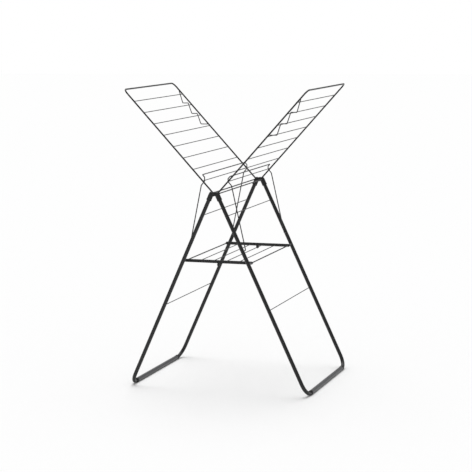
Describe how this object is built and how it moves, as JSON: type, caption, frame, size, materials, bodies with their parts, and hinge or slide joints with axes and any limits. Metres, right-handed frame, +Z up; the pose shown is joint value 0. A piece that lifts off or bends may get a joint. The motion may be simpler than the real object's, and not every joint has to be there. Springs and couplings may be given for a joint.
{
  "type": "folding drying rack",
  "caption": "Free-standing folding drying rack: crossed tubular leg frames, wire wings that rise in an X, and a small folding shelf between the legs.",
  "frame": {"origin": "on the floor, in the middle of the spread feet", "axes": "+Z up, +X towards the right leg frame and wing, +Y along the rods away from the viewer"},
  "size_m": [0.81, 0.605, 1.2667],
  "materials": {
    "powder_coat": "satin black powder coat on steel tube and wire",
    "knuckle_plastic": "moulded, fine texture, matt black",
    "foot_plastic": "extruded grey sleeve, slightly glossy"
  },
  "bodies": {
    "left_leg": {"left_leg_frame": "powder_coat", "left_leg_rods": "powder_coat", "left_foot_sleeve": "foot_plastic", "left_foot_collars": "knuckle_plastic", "left_knuckle_near": "knuckle_plastic", "left_knuckle_far": "knuckle_plastic", "hinge_pins": "powder_coat", "left_shelf_axle": "powder_coat", "left_shelf_spacers": "foot_plastic"},
    "right_leg": {"right_leg_frame": "powder_coat", "right_leg_rods": "powder_coat", "right_foot_sleeve": "foot_plastic", "right_foot_collars": "knuckle_plastic", "right_knuckle_near": "knuckle_plastic", "right_knuckle_far": "knuckle_plastic", "right_shelf_pins": "foot_plastic"},
    "left_wing": {"left_wing_frame": "powder_coat", "left_wing_rods": "powder_coat", "left_wing_axle": "powder_coat", "left_hanger_steps": "powder_coat"},
    "right_wing": {"right_wing_frame": "powder_coat", "right_wing_rods": "powder_coat", "right_wing_axle": "powder_coat", "right_hanger_steps": "powder_coat"},
    "left_bail": {"left_bail": "powder_coat"},
    "right_bail": {"right_bail": "powder_coat"},
    "left_shelf": {"left_shelf_bar_near": "knuckle_plastic", "left_shelf_bar_far": "knuckle_plastic", "left_shelf_rods": "powder_coat", "shelf_hinge_pins": "powder_coat"},
    "right_shelf": {"right_shelf_bar_near": "knuckle_plastic", "right_shelf_bar_far": "knuckle_plastic", "right_shelf_rods": "powder_coat", "right_shelf_end_rod": "powder_coat"}
  },
  "joints": [
    {"name": "leg_fold", "type": "hinge", "parent": "left_leg", "child": "right_leg", "pos_m": [0, 0, 0.836], "axis": [0, 1, 0], "range_deg": [0, 49.4]},
    {"name": "left_wing_fold", "type": "hinge", "parent": "left_leg", "child": "left_wing", "pos_m": [-0.0162, 0, 0.8368], "axis": [0, -1, 0], "range_deg": [0, 104.5]},
    {"name": "right_wing_fold", "type": "hinge", "parent": "right_leg", "child": "right_wing", "pos_m": [0.0162, 0, 0.8368], "axis": [0, 1, 0], "range_deg": [0, 104.5]},
    {"name": "left_bail_swing", "type": "hinge", "parent": "left_leg", "child": "left_bail", "pos_m": [-0.12365, 0, 0.60125], "axis": [0, -1, 0], "range_deg": [-10.3, 0]},
    {"name": "right_bail_swing", "type": "hinge", "parent": "right_leg", "child": "right_bail", "pos_m": [0.12365, 0, 0.60125], "axis": [0, 1, 0], "range_deg": [-10.3, 0]},
    {"name": "left_shelf_fold", "type": "hinge", "parent": "left_leg", "child": "left_shelf", "pos_m": [-0.1453, 0, 0.547], "axis": [0, -1, 0], "range_deg": [0, 66.19]},
    {"name": "right_shelf_fold", "type": "hinge", "parent": "left_shelf", "child": "right_shelf", "pos_m": [0, 0, 0.534], "axis": [0, 1, 0], "range_deg": [0, 181.59]}
  ],
  "couplings": [
    {"joint": "left_bail_swing", "follows": "left_wing_fold", "ratio": -0.09761},
    {"joint": "right_bail_swing", "follows": "right_wing_fold", "ratio": -0.09761},
    {"joint": "left_shelf_fold", "follows": "leg_fold", "ratio": 1.3359},
    {"joint": "right_shelf_fold", "follows": "leg_fold", "ratio": 3.6718}
  ]
}
